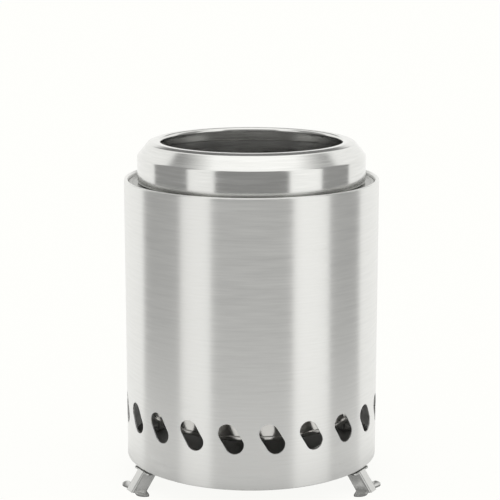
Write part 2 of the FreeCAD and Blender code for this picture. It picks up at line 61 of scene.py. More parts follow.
# How far a piece may leave the space of the node it stands for
BOX_SLACK = 0.1 * MM

# How finely sheets, holes and rounds are drawn: steps round the axis, degrees of a bend to one step, and
# the fewest steps of a bend come first.
STEPS_ROUND = 360
BEND_DEGREES = 10
BEND_STEPS = 3
HOLE_SIDES = 32
SLOT_STEPS = 18
ROUND_STEPS = 8
# Short runs on both sides of a bend, which keep the flat sheet beside it flat
BEND_MARGIN = 0.4 * MM
# Points closer than this are one
SHEET_MERGE = 0.002 * MM
SLOT_MERGE = 0.02 * MM

# Lengths of the cutters, well over a sheet's thickness
HOLE_DEPTH = 6 * MM
SLOT_DEPTH = 12 * MM
# A slot's two rounds end a hair short of its middle, so that they don't meet.
SLOT_ROUND = 0.999
# Sheet kept above and below the slots in the belt that they are cut from
SLOT_MARGIN = 0.8 * MM
# Inside radius of the ledge's raised bead
BEAD_BEND = 0.1 * MM

# How far sharp edges are broken
SHELL_EDGE = 0.22 * MM
RIVET_EDGE = 0.2 * MM
GRATE_EDGE = 0.15 * MM
RING_EDGE = 0.12 * MM
STAND_EDGE = 0.12 * MM
SHEET_EDGE = 0.1 * MM
LEDGE_EDGE = 0.08 * MM
BROKEN_ANGLE = math.radians(40)
SMOOTH_ANGLE = math.radians(35)

# Where the legs stand, in degrees round from the front
LEG_ANGLES = {"Left": -60, "Right": 60, "Rear": 180}

# The grain's layers: share of the fineness, scale along the grain, weight
GRAIN_LAYERS = ((1.0, 60.0, 0.6), (0.3, 30.0, 0.4))
GRAIN_DETAIL = 3.0
GRAIN_TINT = 1.2
GRAIN_RELIEF = 0.05 * MM
# Turns the anisotropic streak upright, square to a grain that runs round the axis
STREAK_TURN = 0.25

# The steels: colour, roughness, fineness of the grain per metre, share of the grain, streak, bump
STEELS = {
    "Outer Steel": ("shell", 0.34, 1100.0, 0.9, 1.0, 0.05),
    # The ledge's steel is darkened in colour to paint the shade it lies in.
    "Ledge Steel With Painted Shade": ("ledge", 0.20, 1400.0, 0.4, 0.4, 0.06),
    "Ring Steel": ("ring", 0.17, 1200.0, 0.9, 0.6, 0.08),
    "Chamber Steel": ("chamber", 0.16, 1400.0, 0.3, 0.4, 0.04),
    "Plate Steel": ("plate", 0.42, 1800.0, 1.0, 0.3, 0.08),
    "Stand Steel": ("stand", 0.22, 1400.0, 0.2, 0.0, 0.05),
    "Grate Steel": ("grate", 0.42, 1600.0, 1.0, 0.2, 0.08),
}

# The panels that the steel mirrors, in degrees: middle (0 is towards the camera), half width, lower edge,
# upper edge and upper fade, and last the level
PANELS = (
    (-54.0, 15.0, -32.0, 24.0, 10.0, 0.95),
    (58.0, 18.0, -32.0, 40.0, 10.0, 1.04),
    (-89.5, 23.0, -26.0, 54.0, 12.0, 0.31),
    (0.5, 37.0, -26.0, 44.0, 8.0, 0.28),
    (93.5, 19.5, -26.0, 50.0, 12.0, 0.32),
    (180.0, 26.0, 22.0, 60.0, 8.0, 0.18),
)
PANEL_SIDE_FADE = 1.5
PANEL_FOOT_FADE = 4
# Overhead the surroundings grow paler between these elevations, by this much
OVERHEAD = (45, 65)
OVERHEAD_GAIN = 0.20

PALE = (1.0, 1.0, 0.975, 1.0)
TABLE_SIZE = 14.0
TABLE_COLOUR = (0.95, 0.95, 0.93, 1.0)
# The table's own light has this share, and the rest shows the object's shadow.
TABLE_GLOW = 0.93

# The table as the steel mirrors it, with the pit's shadow painted in: how far from the axis the painted
# shadow gives way to pale, its levels, and where it fades away
MIRRORED_RADIUS = 0.5
MIRRORED_DEPTH = 0.1 * MM
MIRRORED_SHADOW_EDGE = (0.062, 0.100)
MIRRORED_SHADOW = 0.08
MIRRORED_GAIN = 0.87
MIRRORED_FADE = (0.10, 0.42)

# The camera's sensor in millimetres, and how far left of the pit's axis the camera stands
CAMERA_SENSOR = 36.0
CAMERA_SIDE = 0.76 * MM


def metres(name, value, description):
    """A length in metres."""
    return FloatProperty(name=name, description=description, default=value, min=0.0, unit="LENGTH",
                         precision=5)


def length(name, millimetres, description):
    """A length given in millimetres."""
    return metres(name, millimetres * MM, description)


def angle(name, degrees, description):
    """An angle given in degrees."""
    return FloatProperty(name=name, description=description, default=math.radians(degrees),
                         subtype="ANGLE")


def count(name, number, description, least=3):
    """A whole number."""
    return IntProperty(name=name, description=description, default=number, min=least)


def level(name, value, description):
    """A share from 0 to 1."""
    return FloatProperty(name=name, description=description, default=value, min=0.0, max=1.0,
                         subtype="FACTOR")


def colour(name, value, description):
    """A colour."""
    return FloatVectorProperty(name=name, description=description, default=value, min=0.0, max=1.0,
                               size=3, subtype="COLOR")


# Sizes and finishes

class OuterSizes(bpy.types.PropertyGroup):
    """Sizes of the outer shell and the ledge in its top"""
    radius: metres("Shell Radius", SHELL_RADIUS, "Outside radius of the shell")
    bottom: metres("Bottom Height", SHELL_LOW.z, "Table to the shell's bottom edge")
    height: metres("Shell Height", SHELL_HIGH.z - SHELL_LOW.z, "Bottom edge to the top of the rolled rim")
    wall: length("Shell Wall", 0.7, "Sheet of the outer shell")
    rim_width: length("Rim Width", 2.0, "Width of the rolled rim")
    rim_bend: length("Rim Bend", 0.25, "Inside radius of the rim's two rolls")
    slot_width: length("Slot Width", 9.5, "Width of an air slot")
    slot_length: length("Slot Length", 16.1, "Length of an air slot, with its round ends")
    slot_lean: angle("Slot Lean", 31.0, "Angle of an air slot from upright")
    slot_height: length("Slot Height", 25.7, "Bottom edge to a slot's middle")
    slot_count: count("Slots", 20, "Number of air slots round the shell")
    ledge_depth: length("Ledge Depth", 2.1, "Rim down to the ledge")
    ledge_wall: length("Ledge Wall", 0.7, "Sheet of the ledge")
    ledge_skirt: length("Ledge Skirt", 3.0, "Height of the ledge's turned-down edge")
    bead_inset: length("Bead Inset", 0.7, "Rolled rim to the raised bead")
    bead_width: length("Bead Width", 1.4, "Width of the raised bead")
    bead_height: length("Bead Height", 0.5, "Height of the raised bead")
    bead_run: length("Bead Slope", 0.4, "Width of the slope on each side of the bead")


class RingSizes(bpy.types.PropertyGroup):
    """Sizes of the flame ring and its locating band"""
    inset: length("Ring Inset", 6.8, "Shell to the ring's upright wall")
    wall: length("Ring Wall", 0.8, "Sheet of the flame ring")
    foot_bend: length("Foot Bend", 0.8, "Inside radius of the bend at the ring's foot")
    fold_bend: length("Fold Bend", 0.7, "Inside radius of the ring's folds")
    shoulder_height: length("Shoulder Height", 13.7, "Ledge to the fold under the sloped shoulder")
    shoulder_run: length("Shoulder Run", 5.5, "How far the shoulder comes inwards")
    shoulder_rise: length("Shoulder Rise", 6.7, "How far the shoulder rises")
    lip_run: length("Lip Run", 2.7, "How far the gently rising lip comes inwards")
    lip_rise: length("Lip Rise", 0.9, "How far the lip rises")
    crest_run: length("Crest Run", 3.8, "Width of the level crest, as far as the mouth")
    hem: length("Mouth Hem", 2.6, "Height of the turned-down edge round the mouth")
    band_wall: length("Band Wall", 0.6, "Sheet of the locating band")
    band_gap: length("Band Gap", 0.6, "Locating band to the chamber's inner wall")
    band_depth: length("Band Depth", 6.0, "How far the band reaches below the ledge")


class InnerSizes(bpy.types.PropertyGroup):
    """Sizes of the inner chamber, the bottom, the pan and the grate"""
    air_gap: length("Air Gap", 12.0, "Shell's outer face to the inner wall's outer face")
    wall: length("Inner Wall", 0.6, "Sheet of the inner wall")
    flange: length("Top Flange", 4.5, "Width of the turned-out top edge under the ledge")
    floor_height: length("Floor Height", 21.0, "Bottom edge to the underside of the chamber's floor")
    floor_wall: length("Floor Wall", 0.6, "Sheet of the chamber's floor")
    floor_rim: length("Floor Rim", 2.4, "Height of the floor's seam round the wall")
    seam_bend: length("Seam Bend", 0.3, "Inside radius of the seams")
    seam_gap: length("Seam Gap", 0.1, "Gap between pieces that are pressed together")
    jet: length("Jet", 5.0, "Diameter of an air hole near the top of the inner wall")
    jet_drop: length("Jet Drop", 21.0, "Ledge to an upper air hole's middle")
    jet_count: count("Jets", 24, "Number of upper air holes")
    vent: length("Vent", 6.0, "Diameter of an air hole in the chamber's floor")
    vent_inset: length("Vent Inset", 5.4, "Inner wall to an air hole's middle")
    vent_count: count("Vents", 18, "Number of air holes in the floor")
    base_wall: length("Base Wall", 0.8, "Sheet of the shell's bottom")
    base_flange: length("Base Flange", 6.5, "Height of the bottom's turned-up edge")
    recess_inset: length("Recess Inset", 18.0, "Shell to the raised middle of the bottom")
    recess_depth: length("Recess Depth", 2.4, "How far the middle of the bottom is raised")
    recess_run: length("Recess Slope", 0.8, "Width of the slope round the raised middle")
    sheet_bend: length("Sheet Bend", 1.0, "Inside radius of the larger bends")
    pan_radius: length("Pan Radius", 40.0, "Outside radius of the ash pan")
    pan_height: length("Pan Height", 8.0, "Height of the ash pan")
    pan_wall: length("Pan Wall", 0.6, "Sheet of the ash pan")
    grate_radius: length("Grate Radius", 43.6, "Outside radius of the fuel grate")
    grate_wall: length("Grate Wall", 1.2, "Sheet of the fuel grate")
    grate_skirt: length("Grate Skirt", 3.0, "Height of the grate's turned-down edge")
    grate_hole: length("Grate Hole", 4.4, "Diameter of a hole in the grate")
    grate_border: length("Grate Border", 8.6, "Grate's edge to the middles of its outermost holes")
    grate_rings: count("Grate Rings", 5, "Rings of holes round the grate's middle", least=1)


class StandSizes(bpy.types.PropertyGroup):
    """Sizes of the stand's ring, legs and rivets"""
    wall: length("Stand Wall", 1.0, "Sheet of the stand's ring")
    ring_inset: length("Ring Inset", 2.0, "Shell to the outer edge of the stand's ring")
    lip_height: length("Lip Height", 1.8, "Height of the turned-up inner lip")
    lip_gap: length("Lip Gap", 0.5, "Lip to the recess above it")
    leg_wall: length("Leg Wall", 0.9, "Sheet of a leg")
    overhang: length("Overhang", 6.9, "How far a leg stands out past the shell, at the table")
    lean: angle("Leg Lean", 34.6, "Angle of a leg from upright")
    web: length("Leg Width", 7.0, "Width of a leg's outer face")
    flange: length("Leg Flange", 7.4, "Depth of each side flange")
    flare: angle("Flange Flare", 14.0, "Angle that each flange opens outwards")
    bend: length("Leg Bend", 0.5, "Inside radius of a leg's bends")
    foot: length("Foot Length", 7.5, "How far a foot stands out from its flange")
    toe: length("Toe Round", 4.6, "Large round at a foot's outer corner")
    heel: length("Heel Round", 1.0, "Small round at a foot's inner corner")
    tab_width: length("Tab Width", 15.0, "Width of the riveted tab")
    tab_length: length("Tab Length", 13.0, "Length of the riveted tab")
    tab_round: length("Tab Round", 1.0, "Round at the tab's corners")
    rivet: length("Rivet", 1.5, "Radius of a rivet")
    rivet_head: length("Rivet Head", 2.6, "Radius of a rivet's head")
    rivet_head_height: length("Rivet Head Height", 1.0, "Height of a rivet's head")
    rivet_spacing: length("Rivet Spacing", 8.0, "Between the two rivets of a leg")
    rivet_inset: length("Rivet Inset", 3.7, "Tab's inner edge to a rivet's middle")


class Finish(bpy.types.PropertyGroup):
    """Colours of the steels"""
    shell: colour("Shell", (0.88, 0.88, 0.87), "Brushed steel of the outer shell")
    ring: colour("Flame Ring", (0.82, 0.82, 0.81), "Bright steel of the flame ring")
    # The ledge's dark colour is painted shade: it stands in for the shadow and the dark reflections the
    # ledge lies in.
    ledge: colour("Ledge", (0.26, 0.26, 0.25), "Satin steel of the ledge")
    chamber: colour("Chamber", (0.70, 0.69, 0.67), "Rolled steel of the inner wall and floor")
    plate: colour("Plates", (0.55, 0.55, 0.54), "Dull steel of the bottom and the shield")
    stand: colour("Stand", (0.74, 0.74, 0.73), "Satin steel of the stand")
    grate: colour("Grate", (0.62, 0.61, 0.59), "Dull punched steel of the grate")
    grain: level("Grain", 0.35, "How much the brushed grain varies the steel")


class Studio(bpy.types.PropertyGroup):
    """The studio's light and the camera"""
    bright: level("Reflected White", 0.95, "Level of the pale surroundings that the steel mirrors")
    lens: FloatProperty(name="Lens", description="Focal length of the camera, in millimetres", default=118.2,
                        min=1.0)
    camera_height: metres("Camera Height", 0.2886, "Table to the camera")
    camera_distance: metres("Camera Distance", 0.8288, "Pit's axis to the camera")
    camera_pitch: angle("Camera Pitch", 11.65, "How far the camera looks down")


# Modelling helpers

def deselect():
    """Leave edit mode and select nothing."""
    if bpy.context.object is not None and bpy.context.object.mode != "OBJECT":
        bpy.ops.object.mode_set(mode="OBJECT")
    bpy.ops.object.select_all(action="DESELECT")


def pick(thing):
    """Make one object the only selected and active one."""
    deselect()
    thing.select_set(True)
    bpy.context.view_layer.objects.active = thing


def edit_all():
    """Go into edit mode with everything in the active object selected."""
    bpy.ops.object.mode_set(mode="EDIT")
    bpy.ops.mesh.select_all(action="SELECT")


def section_points(corners, wall, side):
    """A section's line, with an arc at each corner that has a bend and a short run beside each end."""
    line = []
    for index, corner in enumerate(corners):
        here = Vector(corner[:2])
        if len(corner) < 3 or index in (0, len(corners) - 1):
            line.append(here)
            continue
        back = (Vector(corners[index - 1][:2]) - here).normalized()
        on = (Vector(corners[index + 1][:2]) - here).normalized()
        turn = on.x * back.y - on.y * back.x
        radius = corner[2] + (wall if turn * side > 0 else 0)
        half = back.angle(on) / 2
        centre = here + (back + on).normalized() * (radius / math.sin(half))
        spoke = here + back * (radius / math.tan(half)) - centre
        sweep = (math.pi - 2 * half) * (1 if turn > 0 else -1)
        steps = max(BEND_STEPS, round(abs(math.degrees(sweep)) / BEND_DEGREES))
        line += [centre + Matrix.Rotation(sweep * step / steps, 2) @ spoke for step in range(steps + 1)]
    points = [line[0]]
    for before, after in zip(line, line[1:]):
        run = after - before
        if run.length > 3 * BEND_MARGIN:
            points += [before + run.normalized() * BEND_MARGIN, after - run.normalized() * BEND_MARGIN]
        points.append(after)
    return points


def draw_line(name, points):
    """A line of edges through the points, left in edit mode."""
    deselect()
    bpy.ops.mesh.primitive_plane_add(size=MM)
    piece = bpy.context.object
    piece.name = piece.data.name = name
    bpy.ops.object.mode_set(mode="EDIT")
    bpy.ops.mesh.select_mode(type="VERT")
    bpy.ops.mesh.select_all(action="SELECT")
    bpy.ops.mesh.merge(type="CENTER")
    bpy.ops.transform.translate(value=points[0])
    for before, after in zip(points, points[1:]):
        bpy.ops.mesh.extrude_vertices_move(TRANSFORM_OT_translate={"value": after - before})
    return piece


def apply(piece, kind, **settings):
    """Add a modifier with its settings and apply it."""
    pick(piece)
    modifier = piece.modifiers.new(kind.title(), kind)
    for name, value in settings.items():
        setattr(modifier, name, value)
    bpy.ops.object.modifier_apply(modifier=modifier.name)


def face_away(piece, corners, side):
    """Turn the faces of a bare sheet away from the side its wall will lie on."""
    bpy.ops.object.mode_set(mode="OBJECT")
    first, second = Vector(corners[0][:2]), Vector(corners[1][:2])
    middle, run = (first + second) / 2, (second - first).normalized()
    away = Vector((run.y, -run.x)) * side

    def gap(face):
        return abs(math.hypot(face.center.x, face.center.y) - middle.x) + abs(face.center.z - middle.y)

    face = min(piece.data.polygons, key=gap)
    out = Vector((face.center.x, face.center.y, 0)).normalized()
    if face.normal.dot(out) * away.x + face.normal.z * away.y < 0:
        edit_all()
        bpy.ops.mesh.flip_normals()
        bpy.ops.object.mode_set(mode="OBJECT")


def turned_sheet(name, corners, wall, side, height):
    """Sheet metal turned about the axis. Corners are (radius, height) or (radius, height, bend), and
    the wall lies to the left of their line if side is 1, and to the right if it is -1."""
    corners = [(corner[0], corner[1] + height, *corner[2:]) for corner in corners]
    points = [Vector((point.x, 0, point.y)) for point in section_points(corners, wall, side)]
    piece = draw_line(name, points)
    bpy.ops.mesh.select_all(action="SELECT")
    bpy.ops.mesh.spin(steps=STEPS_ROUND, angle=2 * math.pi, center=(0, 0, 0), axis=(0, 0, 1))
    bpy.ops.mesh.select_all(action="SELECT")
    bpy.ops.mesh.remove_doubles(threshold=SHEET_MERGE)
    bpy.ops.mesh.normals_make_consistent(inside=False)
    face_away(piece, corners, side)
    apply(piece, "SOLIDIFY", thickness=wall, offset=-1.0, use_even_offset=True, use_quality_normals=True)
    return piece


def turn_selected(turn, axis):
    """Turn what is selected about one of the main axes through the world's middle."""
    # With no window the operator turns the other way.
    bpy.ops.transform.rotate(value=-turn, orient_axis=axis, orient_type="GLOBAL",
                             center_override=(0, 0, 0))


def repeat_round(times):
    """Copy what is selected in edit mode evenly round the axis."""
    bpy.ops.mesh.spin(steps=times - 1, dupli=True, angle=2 * math.pi * (times - 1) / times,
                      center=(0, 0, 0), axis=(0, 0, 1))


def combine(piece, other, operation):
    """Cut another object from a piece or join it on, and remove the other."""
    apply(piece, "BOOLEAN", operation=operation, solver="EXACT", object=other)
    bpy.data.objects.remove(other)


def holes(rings, height, diameter, upright):
    """One cutter for rings of round holes. Each ring is (distance from the axis, number, first angle)."""
    deselect()
    bpy.ops.mesh.primitive_plane_add(size=MM)
    cutter = bpy.context.object
    edit_all()
    bpy.ops.mesh.delete(type="VERT")
    for reach, number, first in rings:
        bpy.ops.mesh.select_all(action="DESELECT")
        bpy.ops.mesh.primitive_cylinder_add(vertices=HOLE_SIDES, radius=diameter / 2, depth=HOLE_DEPTH)
        if not upright:
            turn_selected(math.pi / 2, "X")
        bpy.ops.transform.translate(value=(0, -reach, height))
        turn_selected(first, "Z")
        if number > 1:
            repeat_round(number)
    bpy.ops.object.mode_set(mode="OBJECT")
    return cutter


def soften(piece, width):
    """Break the sharp edges and smooth the rest, with the large faces kept true."""
    apply(piece, "BEVEL", width=width, segments=2, limit_method="ANGLE", angle_limit=BROKEN_ANGLE)
    pick(piece)
    bpy.ops.object.shade_smooth_by_angle(angle=SMOOTH_ANGLE)
    apply(piece, "WEIGHTED_NORMAL", mode="FACE_AREA", weight=100, keep_sharp=True)


def dress(piece, material, body, node):
    """Bring a piece to the pit's axis, give it its finish and its body, check that it stays within the space
    of the node it stands for, and hide that node.
    """
    pick(piece)
    edit_all()
    bpy.ops.transform.translate(value=AXIS)
    bpy.ops.object.mode_set(mode="OBJECT")
    piece.data.materials.clear()
    piece.data.materials.append(bpy.data.materials[material])
    low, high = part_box(node)
    corners = [Vector(corner) for corner in piece.bound_box]
    for axis in range(3):
        under = low[axis] - min(corner[axis] for corner in corners)
        over = max(corner[axis] for corner in corners) - high[axis]
        outside = max(under, over)
        if outside > BOX_SLACK:
            raise RuntimeError(f"{piece.name} leaves the space of {node} by {outside / MM:.2f} mm")
    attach(piece, body)
    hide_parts(node)
    deselect()


# Node helpers

def calculate(tree, operation, *values):
    """A Math node on numbers and sockets, as its output."""
    node = tree.nodes.new("ShaderNodeMath")
    node.operation = operation
    for socket, value in zip(node.inputs, values):
        if isinstance(value, (int, float)):
            socket.default_value = value
        else:
            tree.links.new(value, socket)
    return node.outputs[0]


def grain_group():
    """Brushed grain: lines that run round the axis, as a tint, a roughness and a height."""
    tree = bpy.data.node_groups.new("Brushed Grain", "ShaderNodeTree")
    for name, kind in (("Vector", "NodeSocketVector"), ("Color", "NodeSocketColor"),
                       ("Roughness", "NodeSocketFloat"), ("Fineness", "NodeSocketFloat"),
                       ("Amount", "NodeSocketFloat")):
        tree.interface.new_socket(name, in_out="INPUT", socket_type=kind)
    for name, kind in (("Color", "NodeSocketColor"), ("Roughness", "NodeSocketFloat"),
                       ("Height", "NodeSocketFloat")):
        tree.interface.new_socket(name, in_out="OUTPUT", socket_type=kind)
    given = tree.nodes.new("NodeGroupInput").outputs
    made = tree.nodes.new("NodeGroupOutput").inputs
    split = tree.nodes.new("ShaderNodeSeparateXYZ")
    tree.links.new(given["Vector"], split.inputs[0])
    x, y, z = split.outputs
    reach = calculate(tree, "SQRT", calculate(tree, "ADD", calculate(tree, "MULTIPLY", x, x),
                                              calculate(tree, "MULTIPLY", y, y)))
    layers = []
    for share, along, weight in GRAIN_LAYERS:
        across = calculate(tree, "MULTIPLY", given["Fineness"], share)
        place = tree.nodes.new("ShaderNodeCombineXYZ")
        for socket, source, scale in zip(place.inputs, (x, y, z), (along, along, across)):
            tree.links.new(calculate(tree, "MULTIPLY", source, scale), socket)
        noise = tree.nodes.new("ShaderNodeTexNoise")
        noise.noise_dimensions = "4D"
        noise.inputs["Scale"].default_value = 1.0
        noise.inputs["Detail"].default_value = GRAIN_DETAIL
        tree.links.new(place.outputs[0], noise.inputs["Vector"])
        tree.links.new(calculate(tree, "MULTIPLY", reach, across), noise.inputs["W"])
        layers.append(calculate(tree, "MULTIPLY", noise.outputs["Fac"], weight))
    both = calculate(tree, "ADD", *layers)
    swing = calculate(tree, "MULTIPLY", calculate(tree, "SUBTRACT", both, 0.5), given["Amount"])
    tint = tree.nodes.new("ShaderNodeVectorMath")
    tint.operation = "SCALE"
    tree.links.new(given["Color"], tint.inputs[0])
    tree.links.new(calculate(tree, "ADD", 1.0, calculate(tree, "MULTIPLY", swing, GRAIN_TINT)),
                   tint.inputs["Scale"])
    tree.links.new(tint.outputs[0], made["Color"])
    tree.links.new(calculate(tree, "ADD", given["Roughness"], swing), made["Roughness"])
    tree.links.new(both, made["Height"])
    return tree


def steel(name, shade, roughness, fineness, amount, streak, bump):
    """A brushed steel whose grain runs round the pit's axis."""
    material = bpy.data.materials.new(name)
    material.use_nodes = True
    tree = material.node_tree
    shader = tree.nodes["Principled BSDF"]
    place = tree.nodes.new("ShaderNodeTexCoord")
    centre = tree.nodes.new("ShaderNodeMapping")
    centre.inputs["Location"].default_value = -AXIS
    tree.links.new(place.outputs["Object"], centre.inputs["Vector"])
    grain = tree.nodes.new("ShaderNodeGroup")
    grain.node_tree = bpy.data.node_groups["Brushed Grain"]
    tree.links.new(centre.outputs[0], grain.inputs["Vector"])
    grain.inputs["Color"].default_value = (*shade, 1.0)
    grain.inputs["Roughness"].default_value = roughness
    grain.inputs["Fineness"].default_value = fineness
    grain.inputs["Amount"].default_value = amount
    tree.links.new(grain.outputs["Color"], shader.inputs["Base Color"])
    tree.links.new(grain.outputs["Roughness"], shader.inputs["Roughness"])
    relief = tree.nodes.new("ShaderNodeBump")
    relief.inputs["Strength"].default_value = bump
    relief.inputs["Distance"].default_value = GRAIN_RELIEF
    tree.links.new(grain.outputs["Height"], relief.inputs["Height"])
    tree.links.new(relief.outputs["Normal"], shader.inputs["Normal"])
    shader.inputs["Metallic"].default_value = 1.0
    shader.inputs["Anisotropic"].default_value = streak
    shader.inputs["Anisotropic Rotation"].default_value = STREAK_TURN
    return material


# Operators

class FIREPIT_OT_finishes(bpy.types.Operator):
    """Make the steels"""
    bl_idname = "firepit.finishes"
    bl_label = "Finishes"

    def execute(self, context):
        look = context.scene.firepit_finish
        grain_group()
        for name, (shade, roughness, fineness, share, streak, bump) in STEELS.items():
            steel(name, getattr(look, shade), roughness, fineness, look.grain * share, streak, bump)
        return {"FINISHED"}


class FIREPIT_OT_shell(bpy.types.Operator):
    """Make the outer shell with its rolled rim and slanted air slots"""
    bl_idname = "firepit.shell"
    bl_label = "Outer Shell"

    def execute(self, context):
        s = context.scene.firepit_outer
        seam = context.scene.firepit_inner.seam_gap
        rim_inside = s.radius - s.rim_width
        # The belt of sheet that the slots are cut from, a little wider than they are
        belt = (s.slot_length - s.slot_width) / 2 * math.cos(s.slot_lean) + s.slot_width / 2 + SLOT_MARGIN
        shell = turned_sheet("Outer_Wall", [
            (s.radius, 0),
            (s.radius, s.slot_height - belt),
            (s.radius, s.slot_height + belt),
            (s.radius, s.height, s.rim_bend),
            (rim_inside, s.height, s.rim_bend),
            (rim_inside, s.height - s.ledge_depth + seam),
        ], s.wall, 1, s.bottom)

        deselect()
        bpy.ops.mesh.primitive_cube_add(size=1.0)
        cutter = context.object
        edit_all()
        bpy.ops.transform.resize(value=(s.slot_width, SLOT_DEPTH, s.slot_length))
        bpy.ops.mesh.select_mode(type="EDGE")
        bpy.ops.mesh.select_all(action="DESELECT")
        bpy.ops.object.mode_set(mode="OBJECT")
        for edge in cutter.data.edges:
            ends = [cutter.data.vertices[index].co for index in edge.vertices]
            edge.select = abs(ends[0].y - ends[1].y) > MM
        bpy.ops.object.mode_set(mode="EDIT")
        bpy.ops.mesh.bevel(offset=s.slot_width / 2 * SLOT_ROUND, segments=SLOT_STEPS, affect="EDGES")
        bpy.ops.mesh.select_all(action="SELECT")
        bpy.ops.mesh.remove_doubles(threshold=SLOT_MERGE)
        turn_selected(-s.slot_lean, "Y")
        bpy.ops.transform.translate(value=(0, -s.radius, s.bottom + s.slot_height))
        turn_selected(math.pi / s.slot_count, "Z")
        repeat_round(s.slot_count)
        bpy.ops.object.mode_set(mode="OBJECT")
        combine(shell, cutter, "DIFFERENCE")
        soften(shell, SHELL_EDGE)
        dress(shell, "Outer Steel", "pit", "outer_shell")
        return {"FINISHED"}


class FIREPIT_OT_ledge(bpy.types.Operator):
    """Make the ledge between the rim and the flame ring"""
    bl_idname = "firepit.ledge"
    bl_label = "Ledge"

    def execute(self, context):
        s, n = context.scene.firepit_outer, context.scene.firepit_inner
        bead_out = s.radius - s.rim_width - s.bead_inset
        bead_in = bead_out - s.bead_width
        edge = s.radius - s.wall - n.seam_gap
        ledge = turned_sheet("Ledge", [
            (s.radius - n.air_gap - n.wall, 0),
            (bead_in - s.bead_run, 0, BEAD_BEND),
            (bead_in, s.bead_height, BEAD_BEND),
            (bead_out, s.bead_height, BEAD_BEND),
            (bead_out + s.bead_run, 0, BEAD_BEND),
            (edge, 0, n.seam_bend),
            (edge, -s.ledge_skirt),
        ], s.ledge_wall, -1, s.bottom + s.height - s.ledge_depth)
        soften(ledge, LEDGE_EDGE)
        # The ledge's finish has painted shade in its dark colour.
        dress(ledge, "Ledge Steel With Painted Shade", "pit", "top_collar")
        return {"FINISHED"}


class FIREPIT_OT_flame_ring(bpy.types.Operator):
    """Make the pressed flame ring and its locating band"""
    bl_idname = "firepit.flame_ring"
    bl_label = "Flame Ring"

    def execute(self, context):
        s, r, n = context.scene.firepit_outer, context.scene.firepit_ring, context.scene.firepit_inner
        ledge = s.bottom + s.height - s.ledge_depth
        band = s.radius - n.air_gap - n.wall - r.band_gap
        radius = s.radius - r.inset
        lip, lip_height = radius - r.shoulder_run, r.shoulder_height + r.shoulder_rise
        crest, crest_height = lip - r.lip_run, lip_height + r.lip_rise
        mouth = crest - r.crest_run
        ring = turned_sheet("Flame_Ring", [
            (band + r.fold_bend + n.seam_gap, 0),
            (radius, 0, r.foot_bend),
            (radius, r.shoulder_height, r.fold_bend),
            (lip, lip_height, r.fold_bend),
            (crest, crest_height, r.fold_bend),
            (mouth, crest_height, r.fold_bend),
            (mouth, crest_height - r.hem),
        ], r.wall, 1, ledge)
        soften(ring, RING_EDGE)
        dress(ring, "Ring Steel", "ring", "flame_ring")

        locating = turned_sheet("Ring_Band", [
            (radius - r.wall - r.foot_bend - n.seam_gap, r.wall),
            (band, r.wall, r.fold_bend),
            (band, -r.band_depth),
        ], r.band_wall, -1, ledge)
        soften(locating, SHEET_EDGE)
        dress(locating, "Ring Steel", "ring", "ring_band")
        return {"FINISHED"}


class FIREPIT_OT_chamber(bpy.types.Operator):
    """Make the inner wall with its air holes and the chamber's floor"""
    bl_idname = "firepit.chamber"
    bl_label = "Inner Chamber"

    def execute(self, context):
        s, n = context.scene.firepit_outer, context.scene.firepit_inner
        ledge = s.height - s.ledge_depth
        outside = s.radius - n.air_gap
        inside = outside - n.wall
        floor_top = n.floor_height + n.floor_wall
        wall = turned_sheet("Inner_Wall", [
            (inside, floor_top + n.seam_bend),
            (inside, ledge - s.ledge_wall, n.seam_bend),
            (outside + n.flange, ledge - s.ledge_wall),
        ], n.wall, -1, s.bottom)
        jets = holes([(inside, n.jet_count, 0.0)], s.bottom + ledge - n.jet_drop, n.jet, False)
        combine(wall, jets, "DIFFERENCE")
        soften(wall, SHEET_EDGE)
        dress(wall, "Chamber Steel", "pit", "inner_chamber")

        rim = outside + n.seam_gap + n.floor_wall
        floor = turned_sheet("Chamber_Floor", [
            (0, n.floor_height),
            (rim, n.floor_height, n.seam_bend),
            (rim, n.floor_height + n.floor_rim),
        ], n.floor_wall, 1, s.bottom)
        vents = holes([(inside - n.vent_inset, n.vent_count, math.pi / n.vent_count)],
                      s.bottom + n.floor_height, n.vent, True)
        combine(floor, vents, "DIFFERENCE")
        soften(floor, SHEET_EDGE)
        dress(floor, "Chamber Steel", "pit", "chamber_floor")
        return {"FINISHED"}


class FIREPIT_OT_bottom(bpy.types.Operator):
    """Make the shell's bottom, and finish the shield and brackets above it"""
    bl_idname = "firepit.bottom"
    bl_label = "Bottom"

    def execute(self, context):
        s, n = context.scene.firepit_outer, context.scene.firepit_inner
        recess = s.radius - n.recess_inset
        edge = s.radius - s.wall - n.seam_gap
        base = turned_sheet("Base_Plate", [
            (0, n.recess_depth),
            (recess, n.recess_depth),
            (recess + n.recess_run, 0),
            (edge, 0, n.sheet_bend),
            (edge, n.base_flange),
        ], n.base_wall, 1, s.bottom)
        soften(base, SHEET_EDGE)
        dress(base, "Plate Steel", "pit", "base_plate")
        for name in ("heat_shield", "chamber_brackets"):
            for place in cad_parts[name].material_slots:
                place.material = bpy.data.materials["Plate Steel"]
        return {"FINISHED"}


